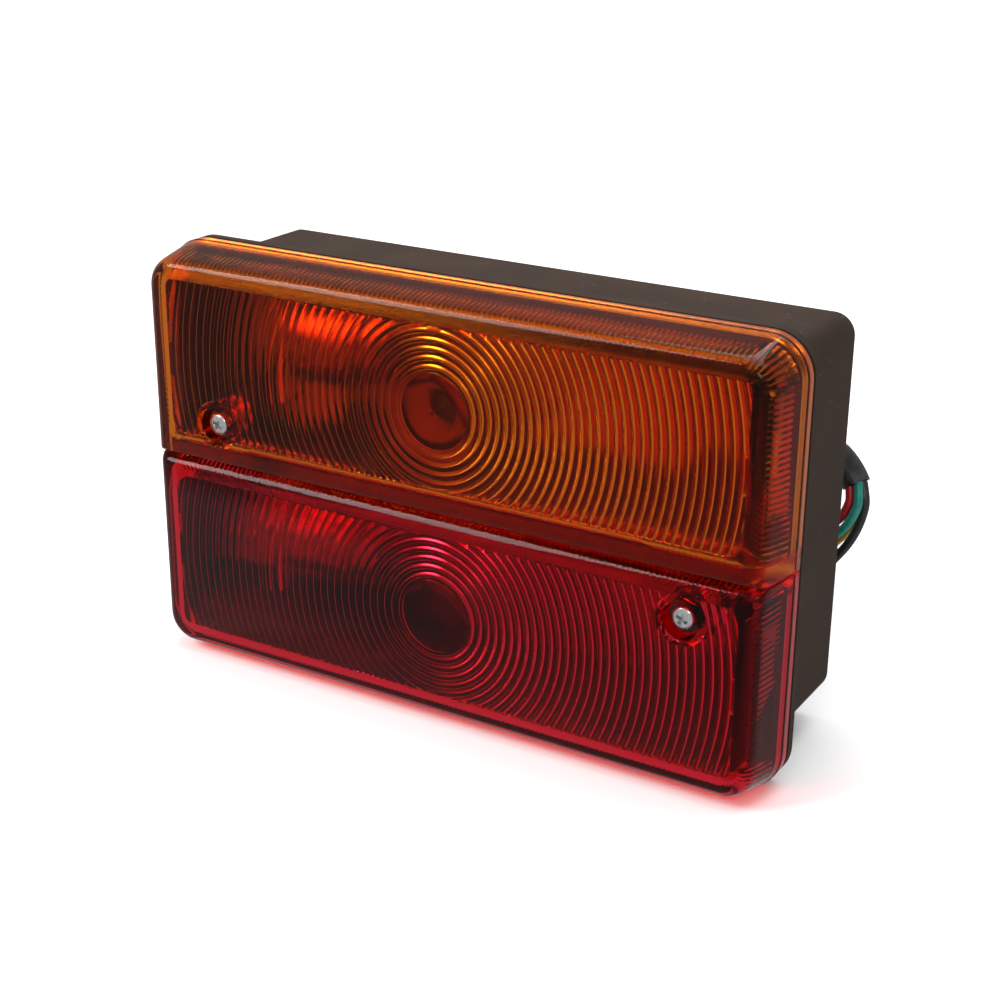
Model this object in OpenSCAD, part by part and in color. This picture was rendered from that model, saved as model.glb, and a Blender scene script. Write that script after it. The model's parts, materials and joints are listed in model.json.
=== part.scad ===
// Two-colour rear lamp for a trailer: an amber indicator over a red stop and tail light.
// The lamp stands upright. Its front faces -Y, +X is to the right of someone looking at the
// front, +Z is up, and the origin is midway between the two mounting studs, on the plane where
// the stud pads meet the vehicle.

/* [Lamp outline] */
// Width of the lens rim and of the housing flange
lamp_w = 165; // [160:1:175]
// Height of the lens rim and of the housing flange
lamp_h = 104; // [102:1:110]
// Corner radius of the rim and the flange
corner_r = 9.5; // [8:0.5:12]
// Height of the joint between the amber and the red lens, above the middle of the lamp
seam_z = 0.9; // [0:0.1:1.5]

/* [Lenses] */
// Depth of a lens from its rim to its flat front
lens_depth = 15.3; // [14:0.1:18]
// How far the front of a lens is set in from its rim, all round
lens_draft = 2.6; // [2:0.1:3]
// Thickness of the lens walls
lens_wall = 2.3; // [2:0.1:2.6]
// Air gap between the two lenses
seam_gap = 0.4; // [0.3:0.1:0.6]

/* [Housing] */
// Depth of the housing from its rim to the rear face of its back wall
housing_depth = 36.5; // [34:0.5:40]
// How far the box of the housing is stepped in from its flange
housing_step = 5.1; // [5:0.1:5.5]
// Thickness of the housing walls
housing_wall = 2.4; // [2:0.1:2.8]
// Thickness of the flange
flange_t = 2.3; // [2:0.1:3]

/* [Lens screws] */
// Distance of each lens screw from the middle of the lamp, sideways
screw_x = 62; // [58:0.5:63]
// Height of the amber lens screw, and depth of the red one, from the middle of the lamp
screw_z = 10.2; // [10:0.1:12]
// Diameter of the screw's shank
screw_d = 2.9; // [2.8:0.1:3]
// Diameter of the screw's pan head
screw_head_d = 5.6; // [5.4:0.1:6]

/* [Mounting] */
// Distance between the two mounting studs
stud_spacing = 76; // [70:1:90]
// Diameter of the mounting studs
stud_d = 6; // [5:1:6]
// Length of stud behind the pads
stud_reach = 18; // [15:1:25]

/* [Bulbs] */
// Diameter of the glass
bulb_d = 26; // [24:0.5:26]
// Diameter of the bayonet cap
cap_d = 15; // [14.9:0.1:15]
// Height of each bulb above or below the middle of the lamp
bulb_z = 24.8; // [24:0.1:25]
// How far a bulb pushes into its socket
bulb_push = 2; // [1:0.5:2]

/* [Leads] */
// Diameter of a wire over its insulation
wire_d = 2.2; // [2:0.1:2.2]
// Diameter of the rubber sleeve round the wires
sleeve_d = 6.8; // [6.6:0.1:7]

/* [Hidden] */
$fn = 64;
fit_gap = 0.1;      // clearance between pieces that slide on each other
eps = 0.01;

// Depths, front to back
pad_h = 1.5;
wall_y = -pad_h;
rim_y = wall_y - housing_depth;
front_y = rim_y - lens_depth;
floor_y = wall_y - housing_wall;
gasket_t = 0.9;
flange_y = rim_y + gasket_t;

// Housing box and its cavity
box_w = lamp_w - 2 * housing_step;
end_step = housing_step + 0.9;  // step at the top and the bottom
box_h = lamp_h - 2 * end_step;
box_r = 5;
cavity_w = box_w - 2 * housing_wall;
cavity_h = box_h - 2 * housing_wall;
divider_t = 1.8;
divider_front_h = 6.6;
lip_t = 1.6;
lip_h = 3;
lip_gap = 0.6;      // between the lip and the lens walls

// Lens screws
head_h = 2.2;
head_depth = 1.8;   // the head sits this far below the front of the lens
washer_t = 0.8;
washer_d = 7.6;
seat_y = front_y + head_depth + head_h + washer_t;
counterbore_d = 8.8;
lens_boss_d = 12;
lens_column_d = 8.4;
screw_boss_d = 8;
boss_y = rim_y + 0.5;
screw_l = 24;

// Mounting studs
pad_d = 18;
stud_head_af = 10;
stud_head_h = 4;
stud_boss_h = 9;
stud_boss_d = 16;
stud_shoulder_l = 8; // thicker part of a stud, held in the pad

// Bulb sockets, along X, and the bulbs in them
bulb_y = -24.5;
socket_x = -50;     // rear of the socket shell
socket_l = 19;
socket_t = 0.6;
socket_bore_d = cap_d + 4 * fit_gap;
socket_d = socket_bore_d + 2 * socket_t;
pin_d = 2;
pin_h = 1;
slot_w = pin_d + 0.6;
turn_deg = 18;
entry_deg = 20;     // extra turn of the slot, at its two ends
disc_t = 3;
cap_x = -41;        // contact end of the bulb, where it presses on the disc
cap_l = 17;
pin_x = cap_x + 7;
glass_x = -3.5;     // middle of the glass ball
glass_t = 0.7;
stem_x = cap_x + 11;
stem_l = 12;
contact_d = 4;
filament_x = -3;
contact_side = 3.2; // half the distance between the two contacts of the red bulb
rivet_d = 2.4;
rivet_tail_d = 3.2;
spring_x = socket_x + 1;
spring_l = cap_x - disc_t - spring_x;
spring_wire = 0.7;

// Reflector plates
plate_t = 0.8;
plate_w = 134;
plate_h = 38;
plate_x = -6.5;
plate_y = floor_y - 6;
plate_z = seam_z + divider_t / 2 + 1.6 + plate_h / 2;
arm_w = 22;
post_x = [-70, 50];
post_d = 6;
post_z = plate_z + 13;
pilot_d = 2.4;      // screw holes in the posts
tag_t = 0.8;        // thickness of a ring terminal

// Cable exit, sleeve and wires
exit_x = 68;
exit_z = 11.5;
exit_d = 10.2;
sleeve_start = -6.5;
sleeve_straight = 6;
sleeve_r = 9;
sleeve_bend = 110;
sleeve_lean = 36;
sleeve_bore_d = 5.9;
lane = wire_d / 2 + 0.1;
strip_l = 6;        // bare copper at the end of each wire
strip_d = 1.3;

// Routes of the four free wires: out of the sleeve, down behind the housing, and along the
// surface that the lamp stands on, which is at z = -52.
black_route = [
    [77.6, 14.2, -1.4], [77.7, 13.8, -4], [76.8, 13.7, -8], [75.2, 13.8, -12], [72.8, 14, -16],
    [69, 14.4, -21], [63.6, 15, -27], [57, 15.6, -33], [49, 16.4, -39], [40, 17.4, -44.4],
    [30, 18.6, -48.4], [19, 20, -50.6], [7, 21.4, -50.9], [-6, 23, -50.9], [-19, 24.6, -50.9],
    [-32, 26.4, -50.9], [-44, 29, -50.9], [-54, 33, -50.9], [-61.4, 39.6, -50.9],
    [-63.6, 48, -50.9], [-61, 56.4, -50.9], [-54, 62, -50.9]
];
green_route = [
    [76.8, 11.7, -0.4], [76.8, 11.2, -2.8], [75.6, 11.1, -6], [73.4, 11.8, -9.4],
    [70.2, 13, -12.4], [65.4, 15.2, -16.2], [60, 18, -20.6], [53.6, 20.8, -26],
    [46.2, 23.4, -32], [38, 25.6, -38], [29, 27.4, -43.6], [19.4, 29, -48],
    [9, 30.4, -50.6], [-3, 32, -50.9], [-16, 33.6, -50.9], [-28, 35.4, -50.9],
    [-38.6, 38, -50.9], [-46.4, 42.6, -50.9], [-48.6, 49, -50.9], [-45, 54.8, -50.9],
    [-37.4, 57.6, -50.9], [-27, 58, -50.9]
];
yellow_route = [
    [75.2, 15, -2.4], [75.4, 15.2, -5], [74.6, 15.6, -8.4], [72.8, 16.2, -11.8],
    [70, 16.8, -15.2], [65.4, 17.6, -20], [59.4, 18.6, -26], [52.4, 19.6, -32],
    [44.4, 20.8, -38], [35.4, 22.2, -43.6], [25.6, 23.6, -48], [15, 25, -50.6],
    [3, 26.4, -50.9], [-10, 28, -50.9], [-23, 29.6, -50.9], [-35, 31.6, -50.9],
    [-46.4, 34.8, -50.9], [-54.6, 40.4, -50.9], [-57.4, 48, -50.9], [-54.4, 55.6, -50.9],
    [-46.6, 60.6, -50.9]
];
red_route = [
    [74.5, 12.5, -1.4], [74.2, 12.3, -3.2], [73, 12.6, -6], [70.8, 13.8, -8.6],
    [67.4, 15.8, -11.2], [62.6, 18.6, -14.8], [57, 21.6, -19.4], [50.6, 24.6, -25],
    [43.4, 27.4, -31], [35.4, 29.8, -37], [26.8, 31.8, -42.8], [17.4, 33.6, -47.4],
    [7, 35, -50.4], [-4, 36.6, -50.9], [-16, 38.2, -50.9], [-27, 40.2, -50.9],
    [-35, 43.6, -50.9], [-38, 48.6, -50.9], [-35.4, 53.2, -50.9], [-28, 55, -50.9],
    [-17, 54.2, -50.9], [-5, 52.6, -50.9]
];
free_routes = [black_route, green_route, yellow_route, red_route];

// Routes inside the housing: the wire to earth, the link between the two reflectors, and the
// wires of the indicator, the tail light and the stop light. Each starts at its terminal.
ground_route = [
    [60.1, -12.3, 35.6], [64, -12.6, 34.6], [67.6, -13, 31.6], [69.6, -13.2, 27], [70, -13.2, 21.6],
    [69.4, -12.6, 17], [68.6, -10.4, 14]
];
jumper_route = [
    [60.1, -12.3, 33], [64, -11.8, 31.4], [68.4, -10.4, 28.6], [72, -8.8, 24], [73.6, -8.2, 17],
    [73.4, -8, 9], [72.2, -8.2, 3.6], [71.7, -8.4, -1], [71.2, -8.6, -8], [70.6, -9, -17],
    [69.4, -10, -26], [66, -11.6, -33], [60.1, -12.3, -35.4]
];
indicator_route = [
    [-45.05, -24.5, 24.8], [-48.6, -24.5, 24.8], [-52.4, -24.4, 25],
    [-56.6, -23, 26.6], [-59.6, -19.4, 30.4],
    [-60.2, -15.6, 35.4], [-57.6, -13, 39.8], [-51, -12.4, 41.8], [-36, -12.2, 42.2],
    [0, -12.2, 42], [36, -12.2, 42.2], [56, -12.4, 42], [66, -12.6, 39.6], [71.6, -12.8, 34],
    [73.2, -12.8, 26], [72.8, -12.4, 18], [71.4, -10.8, 12.8]
];
stop_route = [
    [-45.05, -21.3, -24.8], [-48.6, -21.3, -24.8], [-52.4, -21.2, -24.6],
    [-56.4, -19.6, -22.6], [-58.6, -17, -17.6],
    [-58.8, -15.2, -10.6], [-55.6, -14.6, -4.4], [-49, -14.6, -1.8], [-36, -14.6, -1.5],
    [0, -14.6, -1.5], [36, -14.6, -1.5], [52, -14.4, -2.4], [60, -12.8, -4.2], [65.6, -9.4, -4.6],
    [68.8, -8, -2], [69.6, -8.4, 1.6], [69, -10, 5], [68, -10.2, 8]
];
tail_route = [
    [-45.05, -27.7, -24.8], [-48.6, -27.7, -24.8], [-52.6, -27.6, -24.6],
    [-57.4, -25.8, -22.2], [-60.8, -22, -16.8],
    [-61.4, -19, -10], [-58, -17.4, -4.2], [-51, -17.2, -1.8], [-36, -17.2, -1.5],
    [0, -17.2, -1.5], [36, -17.2, -1.5], [56, -17, -1.8], [61.6, -15.6, -2.4], [65.8, -12.6, -2.8],
    [67, -10.4, 0.6], [66.6, -10.8, 4.6], [65.6, -11.6, 8.2], [65.8, -10.2, 11]
];

// ---------------------------------------------------------------- shared shapes

// A flat outline in X and Z, stretched from y_front to y_back.
module slab(y_front, y_back) {
    translate([0, y_back, 0]) rotate([90, 0, 0]) linear_extrude(y_back - y_front) children();
}

// A cylinder along Y, centred on (x, z).
module rod_y(x, z, y_front, y_back, d, sides = 64) {
    translate([x, y_back, z]) rotate([90, 0, 0]) cylinder(h = y_back - y_front, d = d, $fn = sides);
}

// A solid of revolution about the bulb axis, drawn along Z and laid along +X from x.
module along_x(x, z) {
    translate([x, bulb_y, z]) rotate([0, 90, 0]) children();
}

module rounded_rect(w, h, r) {
    square([w - 2 * r, h], center = true);
    square([w, h - 2 * r], center = true);
    for (sx = [-1, 1], sz = [-1, 1])
        translate([sx * (w / 2 - r), sz * (h / 2 - r)]) circle(r);
}

module tube_x(x, z, length, d_outer, d_inner) {
    along_x(x, z) difference() {
        cylinder(h = length, d = d_outer);
        translate([0, 0, -eps]) cylinder(h = length + 2 * eps, d = d_inner);
    }
}

// ---------------------------------------------------------------- swept wires

function unit(v) = v / norm(v);
function tangent(path, i) =
    unit(path[min(i + 1, len(path) - 1)] - path[max(i - 1, 0)]);
function first_side(t) = unit(cross(t, abs(t[2]) > 0.9 ? [0, 1, 0] : [0, 0, 1]));
// The sideways direction at each point of a path, carried along so that the tube doesn't twist.
function sides_along(path, i = 0, a = undef) =
    let (t = tangent(path, i), a0 = is_undef(a) ? first_side(t) : a, here = unit(a0 - (a0 * t) * t))
    i == len(path) - 1 ? [here] : concat([here], sides_along(path, i + 1, here));
function ring(centre, t, a, r, sides) =
    let (b = cross(a, t))
    [for (k = [0 : sides - 1])
        centre + r * (cos(360 * (k + 0.5) / sides) * a + sin(360 * (k + 0.5) / sides) * b)];

module sweep(path, d, sides = 8) {
    n = len(path);
    a = sides_along(path);
    points = [for (i = [0 : n - 1]) each ring(path[i], tangent(path, i), a[i], d / 2, sides)];
    walls = [for (i = [0 : n - 2], k = [0 : sides - 1])
        let (p = i * sides + k, q = i * sides + (k + 1) % sides)
        each [[p, q, q + sides], [p, q + sides, p + sides]]];
    near_end = [[for (k = [sides - 1 : -1 : 0]) k]];
    far_end = [[for (k = [0 : sides - 1]) (n - 1) * sides + k]];
    polyhedron(points = points, faces = concat(walls, near_end, far_end), convexity = 10);
}

// ---------------------------------------------------------------- housing

module divider_profile(h) {
    translate([0, seam_z]) square([cavity_w + 2, h], center = true);
}

module housing() {
    color("#2f2c2a") difference() {
        union() {
            difference() {
                union() {
                    slab(flange_y, flange_y + flange_t) rounded_rect(lamp_w, lamp_h, corner_r);
                    slab(flange_y, wall_y) translate([0, seam_z]) rounded_rect(box_w, box_h, box_r);
                    slab(flange_y - lip_h, flange_y) rounded_rect(
                        lamp_w - 2 * (lens_wall + lip_gap) - 1, lamp_h - 2 * (lens_wall + lip_gap) - 1,
                        corner_r - lens_wall);
                }
                slab(flange_y - lip_h - 1, floor_y)
                    translate([0, seam_z]) rounded_rect(cavity_w, cavity_h, box_r - housing_wall);
                slab(flange_y - lip_h - 1, flange_y) rounded_rect(
                    lamp_w - 2 * (lens_wall + lip_gap + lip_t) - 1,
                    lamp_h - 2 * (lens_wall + lip_gap + lip_t) - 1, corner_r - lens_wall - lip_t);
                // the lip stops short of the two lens walls at the joint
                slab(flange_y - lip_h - 1, flange_y)
                    translate([0, seam_z]) square([lamp_w, 7], center = true);
            }
            slab(flange_y, wall_y - eps) divider_profile(divider_t);
            slab(flange_y, flange_y + flange_t) divider_profile(divider_front_h);
            for (s = [-1, 1]) {
                rod_y(s * screw_x, -s * screw_z, boss_y, floor_y + eps, screw_boss_d);
                rod_y(s * stud_spacing / 2, 0, floor_y - stud_boss_h, floor_y + eps, stud_boss_d);
                rod_y(s * stud_spacing / 2, 0, wall_y - eps, 0, pad_d);
            }
            // posts that the reflector plates are screwed to
            for (s = [-1, 1], x = post_x) rod_y(x, s * post_z, plate_y, floor_y + eps, post_d);
        }
        for (s = [-1, 1]) rod_y(s * screw_x, -s * screw_z, boss_y - 1, boss_y + 16, screw_d + 2 * fit_gap);
        for (s = [-1, 1], x = post_x) rod_y(x, s * post_z, plate_y - 1, floor_y - 0.6, pilot_d);
        stud_shapes();
        rod_y(exit_x, exit_z, floor_y - 1, wall_y + 1, exit_d);
        // slot in the divider for the leads of the lower bulb
        translate([65, floor_y - 9, seam_z - 3]) cube([8, 9 + eps, 6]);
    }
}

module stud_shapes() {
    for (s = [-1, 1]) {
        rod_y(s * stud_spacing / 2, 0, -eps, stud_reach, stud_d);
        rod_y(s * stud_spacing / 2, 0, -stud_shoulder_l, 0, stud_d + 1);
        rod_y(s * stud_spacing / 2, 0, -stud_shoulder_l - stud_head_h, -stud_shoulder_l + eps,
              stud_head_af / cos(30), 6);
    }
}

module mounting_studs() {
    color("#c9ccd0") stud_shapes();
}

module lens_gasket() {
    inset = 0.3;
    color("#151515") slab(rim_y + fit_gap, flange_y) difference() {
        rounded_rect(lamp_w - 2 * inset, lamp_h - 2 * inset, corner_r - inset);
        for (s = [-1, 1]) difference() {
            rounded_rect(lamp_w - 2 * lens_wall - 1, lamp_h - 2 * lens_wall - 1, corner_r - lens_wall);
            translate([0, seam_z - s * lamp_h / 2 + s * divider_front_h / 2])
                square([lamp_w, lamp_h], center = true);
        }
    }
}

// ---------------------------------------------------------------- lenses

// The tapered, round-edged block that both lenses are cut from, smaller by inset.
module lens_block(inset) {
    steps = [[0, 0], [lens_depth - 3, lens_draft * 0.8], [lens_depth - 0.9, lens_draft + 0.6],
             [lens_depth, lens_draft + 2.2]];
    hull() for (s = steps)
        slab(rim_y - s[0] + inset, rim_y - s[0] + inset + eps) offset(r = -s[1] - inset)
            rounded_rect(lamp_w, lamp_h, corner_r, $fn = 32);
}

// Keeps what lies above the joint (s = 1) or below it (s = -1), clear of it by gap.
module lens_half(s, gap) {
    translate([0, front_y + 50, seam_z + s * (gap + 50)]) cube([200, 101, 100], center = true);
}

module lens_shell(s) {
    difference() {
        union() {
            difference() {
                intersection() {
                    lens_block(0);
                    lens_half(s, seam_gap / 2);
                }
                intersection() {
                    lens_block(lens_wall);
                    lens_half(s, seam_gap / 2 + lens_wall);
                }
                // open back
                intersection() {
                    slab(rim_y - 0.2, rim_y + 5) rounded_rect(
                        lamp_w - 2 * lens_wall, lamp_h - 2 * lens_wall, corner_r - lens_wall);
                    lens_half(s, seam_gap / 2 + lens_wall);
                }
            }
            rod_y(-s * screw_x, s * screw_z, front_y + 1, seat_y + 2, lens_boss_d);
            rod_y(-s * screw_x, s * screw_z, seat_y + 1, rim_y, lens_column_d);
        }
        rod_y(-s * screw_x, s * screw_z, front_y - 1, seat_y, counterbore_d);
        rod_y(-s * screw_x, s * screw_z, front_y, rim_y + 1, screw_d + 0.5);
    }
}

module amber_lens() { color("#e86a10") lens_shell(1); }
module red_lens() { color("#a01828") lens_shell(-1); }

// ---------------------------------------------------------------- lens screws

module screw_washer(s) {
    color("#151515") difference() {
        rod_y(-s * screw_x, s * screw_z, seat_y - washer_t, seat_y, washer_d);
        rod_y(-s * screw_x, s * screw_z, seat_y - 2, seat_y + 1, screw_d + 2 * fit_gap);
    }
}

// Pan head with a domed top and a cross recess, over a plain shank with a pointed end.
module lens_screw(s) {
    head_y = seat_y - washer_t;
    color("#d8dadc") translate([-s * screw_x, head_y, s * screw_z]) rotate([90, 0, 0]) {
        difference() {
            rotate_extrude() polygon([
                [0, -screw_l], [screw_d / 2, 2.5 - screw_l], [screw_d / 2, 0], [screw_head_d / 2, 0],
                [screw_head_d / 2, 1], [screw_head_d * 0.42, 1.7], [screw_head_d * 0.25, 2.1], [0, head_h]
            ]);
            for (a = [0, 90]) rotate([0, 0, a])
                translate([-screw_head_d * 0.3, -0.4, head_h - 1.3])
                    cube([screw_head_d * 0.6, 0.8, 2]);
        }
    }
}

module amber_screw_washer() { screw_washer(1); }
module red_screw_washer() { screw_washer(-1); }
module amber_lens_screw() { lens_screw(1); }
module red_lens_screw() { lens_screw(-1); }

// ---------------------------------------------------------------- reflectors and sockets

// Tinplate floor of a chamber, with a bent-up arm that holds the bulb socket.
module reflector(s) {
    arm_x = socket_x - plate_t;
    color("#dcdad4") difference() {
        union() {
            slab(plate_y - plate_t, plate_y)
                translate([plate_x, s * plate_z]) square([plate_w, plate_h], center = true);
            translate([arm_x, bulb_y - 11, s * bulb_z - arm_w / 2])
                cube([plate_t, plate_y - bulb_y + 11, arm_w]);
        }
        along_x(arm_x - 1, s * bulb_z) cylinder(h = 3, d = 9);
        for (x = post_x) rod_y(x, s * post_z, plate_y - 2, plate_y + 1, 3);
        // room for the lens screw boss and for the stud bosses
        rod_y(-s * screw_x, s * screw_z, plate_y - 2, plate_y + 1, screw_boss_d + 2);
        for (x = [-1, 1]) rod_y(x * stud_spacing / 2, 0, plate_y - 2, plate_y + 1, stud_boss_d + 2);
    }
}

module reflector_screws() {
    color("#c9ccd0") for (s = [-1, 1], x = post_x)
        translate([x, plate_y - plate_t - (x > 0 ? tag_t : 0), s * post_z]) rotate([90, 0, 0])
            difference() {
                rotate_extrude() polygon([
                    [0, -6], [pilot_d / 2, -5], [pilot_d / 2, 0], [2.4, 0], [2.4, 0.8], [1.4, 1.5], [0, 1.7]
                ]);
                translate([-1.8, -0.3, 1]) cube([3.6, 0.6, 2]);
            }
}

// Socket shell with two slots that the bulb's pins drop into and turn under.
module socket_shell(s) {
    color("#c8b070") difference() {
        union() {
            tube_x(socket_x, s * bulb_z, socket_l, socket_d, socket_bore_d);
            tube_x(socket_x, s * bulb_z, 0.8, socket_d, 9);
            tube_x(socket_x + socket_l - 1, s * bulb_z, 1, socket_d + 1.6, socket_bore_d);
        }
        for (side = [0, 180]) along_x(pin_x - slot_w / 2, s * bulb_z) rotate([0, 0, side]) {
            // turning slot, wide enough for the push
            translate([0, 0, -bulb_push]) rotate([0, 0, -entry_deg / 2])
                rotate_extrude(angle = turn_deg + entry_deg) translate([socket_bore_d / 2 - 1, 0])
                    square([3, slot_w + bulb_push]);
            // entry slot
            rotate([0, 0, turn_deg]) translate([0, -slot_w / 2, 0])
                cube([socket_d, slot_w, socket_l]);
        }
    }
}

module contact_disc(s, contacts) {
    color("#6b3d22") along_x(cap_x - disc_t, s * bulb_z) difference() {
        cylinder(h = disc_t, d = cap_d);
        for (c = contacts) translate([0, c, -1]) cylinder(h = disc_t + 2, d = rivet_d);
    }
}

// Brass rivets through the disc, flush in front, with a solder tail behind.
module disc_contacts(s, contacts) {
    color("#caa64a") along_x(cap_x - disc_t, s * bulb_z) for (c = contacts) translate([0, c, 0]) {
        cylinder(h = disc_t, d = rivet_d);
        translate([0, 0, -1]) cylinder(h = 1 + eps, d = rivet_tail_d);
    }
}

module socket_spring(s) {
    turns = 4;
    steps = 12;
    r = cap_d / 2 - 1.1;
    lead = (spring_l - spring_wire - 0.2) / turns;
    path = [for (i = [0 : turns * steps])
        [spring_x + 0.1 + spring_wire / 2 + lead * i / steps,
         bulb_y + r * cos(360 * i / steps),
         s * bulb_z + r * sin(360 * i / steps)]];
    color("#b8babd") sweep(path, spring_wire, 6);
}

module amber_reflector() { reflector(1); }
module red_reflector() { reflector(-1); }
module amber_socket() { socket_shell(1); }
module red_socket() { socket_shell(-1); }
module amber_contact_disc() { contact_disc(1, [0]); }
module red_contact_disc() { contact_disc(-1, [-contact_side, contact_side]); }
module amber_contact() { disc_contacts(1, [0]); }
module red_contacts() { disc_contacts(-1, [-contact_side, contact_side]); }
module amber_socket_spring() { socket_spring(1); }
module red_socket_spring() { socket_spring(-1); }

// ---------------------------------------------------------------- bulbs

module bulb_cap(s) {
    color("#c9a85a") {
        tube_x(cap_x + 1.2, s * bulb_z, cap_l - 1.2, cap_d, cap_d - 1);
        for (side = [0, 180]) translate([pin_x, bulb_y, s * bulb_z]) rotate([side, 0, 0])
            translate([0, 0, cap_d / 2 - 0.4]) cylinder(h = pin_h + 0.4, d = pin_d);
    }
}

// Black glass base inside the cap, tapering to a flat end.
module bulb_insulator(s) {
    color("#202020") along_x(cap_x + 0.6, s * bulb_z) union() {
        cylinder(h = 0.6, d = cap_d - 3);
        translate([0, 0, 0.6]) cylinder(h = 3, d = cap_d - 1);
    }
}

// Solder contacts on the end of the bulb.
module bulb_tips(s, contacts) {
    tip_d = len(contacts) == 1 ? contact_d : contact_d - 1;
    color("#b4b6b8") along_x(cap_x, s * bulb_z) for (c = contacts) translate([0, c, 0])
        cylinder(h = 0.6, d = tip_d);
}

module bulb_glass(s, tint) {
    neck_d = cap_d - 1.2;
    color(tint) difference() {
        union() {
            along_x(glass_x, s * bulb_z) sphere(d = bulb_d);
            along_x(stem_x - 1, s * bulb_z) cylinder(h = glass_x - stem_x + 1, d = neck_d);
        }
        along_x(glass_x, s * bulb_z) sphere(d = bulb_d - 2 * glass_t);
        along_x(stem_x - eps, s * bulb_z) cylinder(h = glass_x - stem_x, d = neck_d - 2 * glass_t);
    }
}

module bulb_stem(s) {
    color("#d8e4e4") along_x(stem_x, s * bulb_z) cylinder(h = stem_l, d1 = 9, d2 = 5);
}

// A coiled filament, shown as a thin bar across two support wires that rise from the stem.
module filament(s, x, half) {
    color("#9a9a9a") {
        rod_y(x, s * bulb_z, bulb_y - half, bulb_y + half, 0.8, 16);
        for (side = [-1, 1]) translate([stem_x + stem_l + eps, bulb_y + side * (half - 0.3), s * bulb_z])
            rotate([0, 90, 0]) cylinder(h = x - stem_x - stem_l, d = 0.5, $fn = 16);
    }
}

module amber_bulb_cap() { bulb_cap(1); }
module red_bulb_cap() { bulb_cap(-1); }
module amber_bulb_insulator() { bulb_insulator(1); }
module red_bulb_insulator() { bulb_insulator(-1); }
module amber_bulb_tip() { bulb_tips(1, [0]); }
module red_bulb_tips() { bulb_tips(-1, [-contact_side, contact_side]); }
module amber_bulb_glass() { bulb_glass(1, "#f0a040"); }
module red_bulb_glass() { bulb_glass(-1, "#e8eef0"); }
module amber_bulb_stem() { bulb_stem(1); }
module red_bulb_stem() { bulb_stem(-1); }
module amber_filament() { filament(1, filament_x, 2.2); }
module stop_filament() { filament(-1, filament_x, 2.2); }
module tail_filament() { filament(-1, filament_x - 6, 1.2); }

// ---------------------------------------------------------------- cable exit and wires

// Where the sleeve's middle line is after it has turned by angle, and which way it then runs.
function lean_dir() = [sin(sleeve_lean), 0, -cos(sleeve_lean)];
function across_dir() = [cos(sleeve_lean), 0, sin(sleeve_lean)];
function bend_dir(angle) = [0, cos(angle), 0] + sin(angle) * lean_dir();
function bend_out(angle) = [0, sin(angle), 0] - cos(angle) * lean_dir();
function bend_point(angle) =
    [exit_x, sleeve_straight, exit_z] + sleeve_r * (lean_dir() + bend_out(angle));

module cable_sleeve() {
    start = [exit_x, sleeve_start, exit_z];
    bend = [for (a = [0 : 10 : sleeve_bend]) bend_point(a)];
    color("#101010") difference() {
        sweep(concat([start], bend), sleeve_d, 24);
        sweep(concat([start - [0, 1, 0]], bend, [bend_point(sleeve_bend) + bend_dir(sleeve_bend)]),
              sleeve_bore_d, 24);
    }
}

module cable_grommet() {
    color("#1a1a1a") translate([exit_x, 0, exit_z]) rotate([-90, 0, 0]) rotate_extrude() polygon([
        [sleeve_d / 2, floor_y - 1.6], [6, floor_y - 1.6], [6.4, floor_y - 0.8], [6.4, floor_y],
        [exit_d / 2, floor_y], [exit_d / 2, wall_y], [6.4, wall_y], [6.2, wall_y + 0.8], [4.4, wall_y + 3],
        [sleeve_d / 2, wall_y + 3]
    ]);
}

// Lanes of the four wires in the sleeve, as steps across and outward.
wire_lanes = [[1, 1], [1, -1], [-1, 1], [-1, -1]];

function lane_point(angle, w) =
    bend_point(angle) + lane * (wire_lanes[w][0] * across_dir() + wire_lanes[w][1] * bend_out(angle));
function lane_straight(y, w) =
    [exit_x, y, exit_z] + lane * (wire_lanes[w][0] * across_dir() - wire_lanes[w][1] * lean_dir());

// The part of each wire inside the sleeve, from the inner end to the mouth.
function in_sleeve(w) = concat(
    [lane_straight(sleeve_start, w), lane_straight(-2, w)],
    [for (a = [0 : 10 : sleeve_bend]) lane_point(a, w)]
);

module free_wire(w, tint) {
    mouth = lane_point(sleeve_bend, w);
    color(tint) sweep(concat([mouth + 0.05 * bend_dir(sleeve_bend)], free_routes[w]), wire_d);
}

module black_wire() { free_wire(0, "#141414"); }
module green_wire() { free_wire(1, "#0f6b60"); }
module yellow_wire() { free_wire(2, "#b88a10"); }
module red_wire() { free_wire(3, "#a01020"); }

module stripped_ends() {
    color("#c07a4a") for (route = free_routes) {
        last = len(route) - 1;
        along = unit(route[last] - route[last - 1]);
        sweep([route[last] + 0.05 * along, route[last] + strip_l * along], strip_d);
    }
}

// Wires inside the housing. Each runs from its terminal into the sleeve, and on to its mouth.
module inside_lead(route, w, tint) {
    color(tint) sweep(concat(route, in_sleeve(w)), wire_d);
}

module ground_lead() { inside_lead(ground_route, 0, "#141414"); }
module indicator_lead() { inside_lead(indicator_route, 1, "#0f6b60"); }
module tail_lead() { inside_lead(tail_route, 2, "#b88a10"); }
module stop_lead() { inside_lead(stop_route, 3, "#a01020"); }
module ground_jumper() { color("#141414") sweep(jumper_route, wire_d); }

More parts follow.
